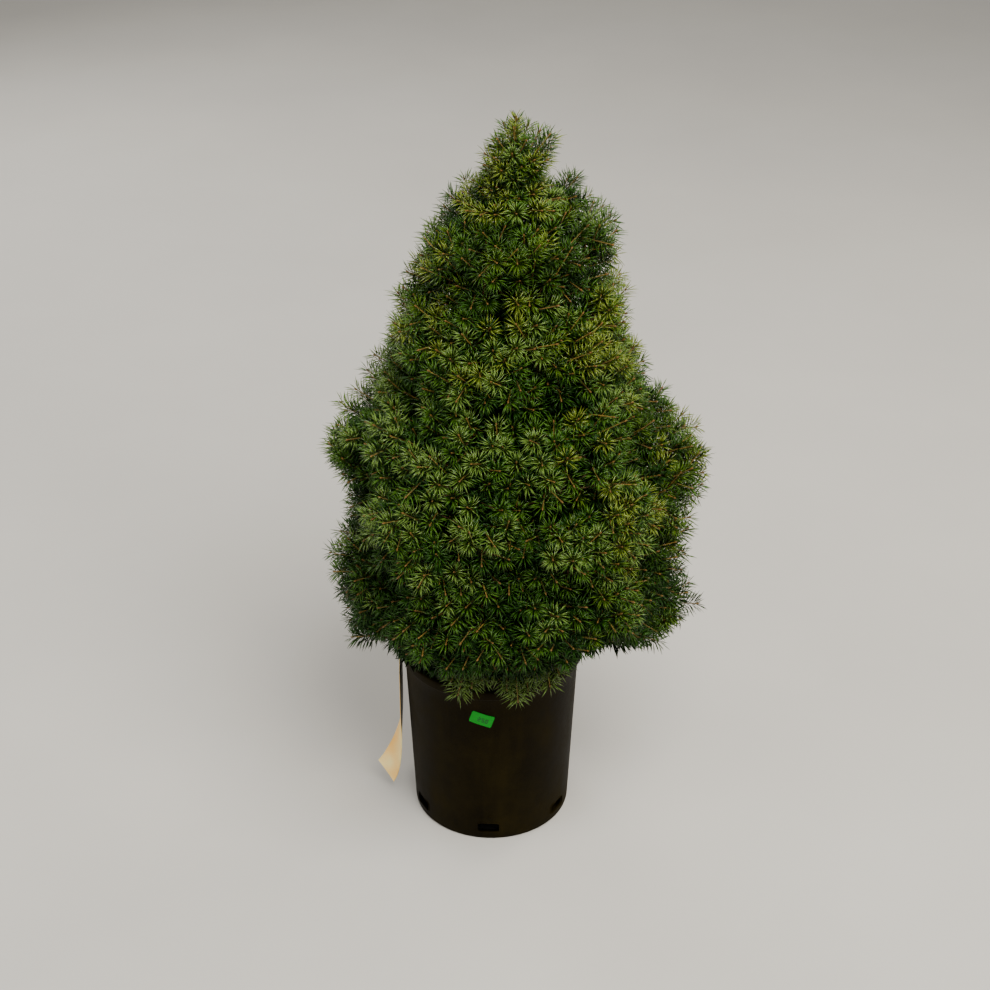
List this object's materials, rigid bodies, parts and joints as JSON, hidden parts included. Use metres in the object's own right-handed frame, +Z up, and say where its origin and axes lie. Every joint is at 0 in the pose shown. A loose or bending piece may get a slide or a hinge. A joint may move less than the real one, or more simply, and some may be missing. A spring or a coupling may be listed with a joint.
{
  "type": "potted alberta spruce",
  "caption": "Small dense cone-shaped conifer in a round black nursery pot: trunk, boughs and foliage masses over a tapered pot filled with potting mix.",
  "frame": {"origin": "centre of the pot's flat underside", "axes": "+Z up along the pot's axis, -Y towards the side that the picture shows, +X to that side's right"},
  "size_m": [0.4087, 0.3923, 0.853],
  "materials": {
    "pot": "dusty moulded plastic",
    "soil": "moist bark chips",
    "price_label": "printed film",
    "care_tag": "weathered printed plastic",
    "bark": "rough scaly bark",
    "foliage": "needles on fine twigs"
  },
  "bodies": {
    "root": {"pot": "pot", "soil": "soil", "price_label": "price_label", "care_tag": "care_tag", "trunk": "bark", "bough_skirt_1": "bark", "foliage_skirt_1": "foliage", "bough_skirt_2": "bark", "foliage_skirt_2": "foliage", "bough_skirt_3": "bark", "foliage_skirt_3": "foliage", "bough_skirt_4": "bark", "foliage_skirt_4": "foliage", "bough_skirt_5": "bark", "foliage_skirt_5": "foliage", "bough_skirt_6": "bark", "foliage_skirt_6": "foliage", "bough_skirt_7": "bark", "foliage_skirt_7": "foliage", "bough_low_1": "bark", "foliage_low_1": "foliage", "bough_low_2": "bark", "foliage_low_2": "foliage", "bough_low_3": "bark", "foliage_low_3": "foliage", "bough_low_4": "bark", "foliage_low_4": "foliage", "bough_low_5": "bark", "foliage_low_5": "foliage", "bough_low_6": "bark", "foliage_low_6": "foliage", "bough_low_7": "bark", "foliage_low_7": "foliage", "bough_middle_1": "bark", "foliage_middle_1": "foliage", "bough_middle_2": "bark", "foliage_middle_2": "foliage", "bough_middle_3": "bark", "foliage_middle_3": "foliage", "bough_middle_4": "bark", "foliage_middle_4": "foliage", "bough_middle_5": "bark", "foliage_middle_5": "foliage", "bough_middle_6": "bark", "foliage_middle_6": "foliage", "foliage_shoulder_1": "foliage", "foliage_shoulder_2": "foliage", "foliage_shoulder_3": "foliage", "foliage_shoulder_4": "foliage", "foliage_shoulder_5": "foliage", "foliage_upper_1": "foliage", "foliage_upper_2": "foliage", "foliage_upper_3": "foliage", "foliage_upper_4": "foliage", "foliage_high_1": "foliage", "foliage_high_2": "foliage", "foliage_high_3": "foliage", "foliage_leader": "foliage"}
  },
  "joints": []
}
